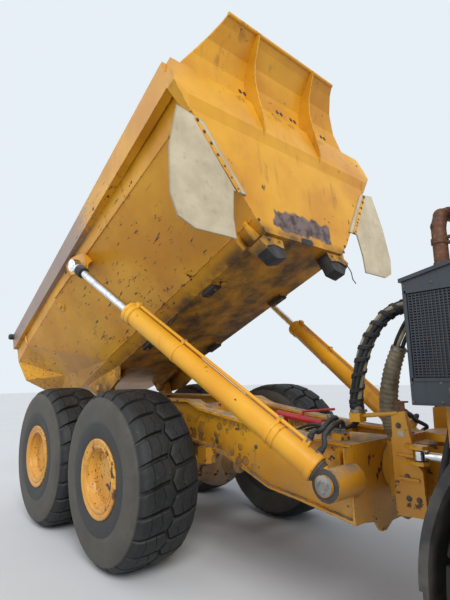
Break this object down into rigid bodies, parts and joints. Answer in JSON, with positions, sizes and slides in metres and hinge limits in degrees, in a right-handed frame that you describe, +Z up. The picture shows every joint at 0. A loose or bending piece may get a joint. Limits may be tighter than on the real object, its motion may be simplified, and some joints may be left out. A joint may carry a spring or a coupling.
{
  "type": "articulated dump truck",
  "caption": "Three-axle articulated dump truck with a raised tipping bed, twin hoist cylinders, swivelling and steering centre joint, cab, hood and free-rolling wheels.",
  "frame": {"origin": "middle of the bounding box, on the ground", "axes": "+X forward, +Y to the truck's left, +Z up"},
  "size_m": [11.5926, 3.69, 5.9606],
  "materials": {
    "rear_paint": "worn satin paint",
    "bed_paint": "worn satin paint, scratched",
    "front_paint": "satin paint",
    "flap_rubber": "dusty",
    "black_rubber": "matt",
    "hoist_paint": "satin paint",
    "chrome_rod": "polished",
    "plain_iron": "rough",
    "glass": "clear",
    "interior_plastic": "matt",
    "dark_paint": "satin",
    "rusty_steel": "rusty",
    "lamp_lens": "clear",
    "red_paint": "satin",
    "tyre_rubber": "matt, dusty",
    "rim_paint": "satin"
  },
  "bodies": {
    "rear_body": {"rear_chassis": "rear_paint", "walking_beams": "rear_paint", "rear_axles": "rear_paint", "red_strut": "red_paint"},
    "bed": {"bed_tub": "bed_paint", "spill_guard": "bed_paint", "side_flaps": "flap_rubber", "bed_brackets": "bed_paint", "bed_pads": "black_rubber"},
    "hoist_barrel_right": {"hoist_barrel_r": "hoist_paint"},
    "hoist_barrel_left": {"hoist_barrel_l": "hoist_paint"},
    "hoist_rod_right": {"hoist_rod_r": "chrome_rod"},
    "hoist_rod_left": {"hoist_rod_l": "chrome_rod"},
    "swivel_knuckle": {"knuckle": "rear_paint", "hose_bundle": "black_rubber"},
    "front_body": {"front_chassis": "front_paint", "front_axle": "front_paint", "engine_block": "plain_iron", "cab_shell": "front_paint", "cab_glass": "glass", "cab_interior": "interior_plastic", "fenders": "black_rubber", "steps": "dark_paint", "handrails": "dark_paint", "exhaust_stack": "rusty_steel", "cooler_housing": "dark_paint", "cooler_grille": "dark_paint", "side_tanks": "dark_paint", "bumper": "dark_paint", "lamps": "lamp_lens", "mirrors": "interior_plastic"},
    "door": {"cab_door": "front_paint", "door_glass": "glass"},
    "hood_lid": {"hood": "front_paint"},
    "steer_barrel_right": {"steer_barrel_r": "dark_paint"},
    "steer_barrel_left": {"steer_barrel_l": "dark_paint"},
    "steer_rod_right": {"steer_rod_r": "chrome_rod"},
    "steer_rod_left": {"steer_rod_l": "chrome_rod"},
    "wheel_fr": {"tyre_fr": "tyre_rubber", "rim_fr": "rim_paint"},
    "wheel_fl": {"tyre_fl": "tyre_rubber", "rim_fl": "rim_paint"},
    "wheel_mr": {"tyre_mr": "tyre_rubber", "rim_mr": "rim_paint"},
    "wheel_ml": {"tyre_ml": "tyre_rubber", "rim_ml": "rim_paint"},
    "wheel_rr": {"tyre_rr": "tyre_rubber", "rim_rr": "rim_paint"},
    "wheel_rl": {"tyre_rl": "tyre_rubber", "rim_rl": "rim_paint"}
  },
  "joints": [
    {"name": "bed_tip", "type": "hinge", "parent": "rear_body", "child": "bed", "pos_m": [-3.92868, 0, 1.83], "axis": [0, -1, 0], "range_deg": [-22, 48]},
    {"name": "hoist_swing_right", "type": "hinge", "parent": "rear_body", "child": "hoist_barrel_right", "pos_m": [0.60532, -0.85, 1.144], "axis": [-0.3792, -0.5538, -0.7413], "range_deg": [-2.19, 4.71]},
    {"name": "hoist_stroke_right", "type": "slide", "parent": "hoist_barrel_right", "child": "hoist_rod_right", "axis": [-0.7974, -0.2107, 0.5654], "range_m": [-0.735, 1.6]},
    {"name": "hoist_swing_left", "type": "hinge", "parent": "rear_body", "child": "hoist_barrel_left", "pos_m": [0.60532, 0.85, 1.144], "axis": [0.3792, -0.5538, 0.7413], "range_deg": [-2.19, 4.71]},
    {"name": "hoist_stroke_left", "type": "slide", "parent": "hoist_barrel_left", "child": "hoist_rod_left", "axis": [-0.7974, 0.2107, 0.5654], "range_m": [-0.735, 1.6]},
    {"name": "swivel", "type": "hinge", "parent": "rear_body", "child": "swivel_knuckle", "pos_m": [0.57132, 0, 1.18], "axis": [1, 0, 0], "range_deg": [-15, 15]},
    {"name": "steering", "type": "hinge", "parent": "swivel_knuckle", "child": "front_body", "pos_m": [1.22132, 0, 1.2], "axis": [0, 0, 1], "range_deg": [-45, 45]},
    {"name": "steer_swing_right", "type": "hinge", "parent": "front_body", "child": "steer_barrel_right", "pos_m": [2.52132, -0.48, 1.36], "axis": [0, 0, 1], "range_deg": [-1.8, 1.8]},
    {"name": "steer_stroke_right", "type": "slide", "parent": "steer_barrel_right", "child": "steer_rod_right", "axis": [-0.9996, 0.0284, 0], "range_m": [-0.32, 0.32]},
    {"name": "steer_swing_left", "type": "hinge", "parent": "front_body", "child": "steer_barrel_left", "pos_m": [2.52132, 0.48, 1.36], "axis": [0, 0, 1], "range_deg": [-1.8, 1.8]},
    {"name": "steer_stroke_left", "type": "slide", "parent": "steer_barrel_left", "child": "steer_rod_left", "axis": [-0.9996, -0.0284, 0], "range_m": [-0.32, 0.32]},
    {"name": "door_open", "type": "hinge", "parent": "front_body", "child": "door", "pos_m": [2.55132, 0.884, 2.4], "axis": [0, 0, 1], "range_deg": [0, 80]},
    {"name": "hood_open", "type": "hinge", "parent": "front_body", "child": "hood_lid", "pos_m": [5.47132, 0, 1.56], "axis": [0, 1, 0], "range_deg": [0, 55]},
    {"name": "roll_fr", "type": "hinge", "parent": "front_body", "child": "wheel_fr", "pos_m": [2.61132, -1.28, 0.925], "axis": [0, 1, 0], "continuous": true},
    {"name": "roll_fl", "type": "hinge", "parent": "front_body", "child": "wheel_fl", "pos_m": [2.61132, 1.28, 0.925], "axis": [0, 1, 0], "continuous": true},
    {"name": "roll_mr", "type": "hinge", "parent": "rear_body", "child": "wheel_mr", "pos_m": [-1.82868, -1.28, 0.925], "axis": [0, 1, 0], "continuous": true},
    {"name": "roll_ml", "type": "hinge", "parent": "rear_body", "child": "wheel_ml", "pos_m": [-1.82868, 1.28, 0.925], "axis": [0, 1, 0], "continuous": true},
    {"name": "roll_rr", "type": "hinge", "parent": "rear_body", "child": "wheel_rr", "pos_m": [-3.77868, -1.28, 0.925], "axis": [0, 1, 0], "continuous": true},
    {"name": "roll_rl", "type": "hinge", "parent": "rear_body", "child": "wheel_rl", "pos_m": [-3.77868, 1.28, 0.925], "axis": [0, 1, 0], "continuous": true}
  ],
  "couplings": [
    {"joint": "hoist_swing_right", "follows": "bed_tip", "ratio": 0.09708},
    {"joint": "hoist_stroke_right", "follows": "bed_tip", "m_per_rad": 1.905},
    {"joint": "hoist_swing_left", "follows": "bed_tip", "ratio": 0.09708},
    {"joint": "hoist_stroke_left", "follows": "bed_tip", "m_per_rad": 1.905},
    {"joint": "steer_swing_right", "follows": "steering", "ratio": -0.038},
    {"joint": "steer_stroke_right", "follows": "steering", "m_per_rad": 0.405},
    {"joint": "steer_swing_left", "follows": "steering", "ratio": -0.038},
    {"joint": "steer_stroke_left", "follows": "steering", "m_per_rad": -0.405}
  ]
}
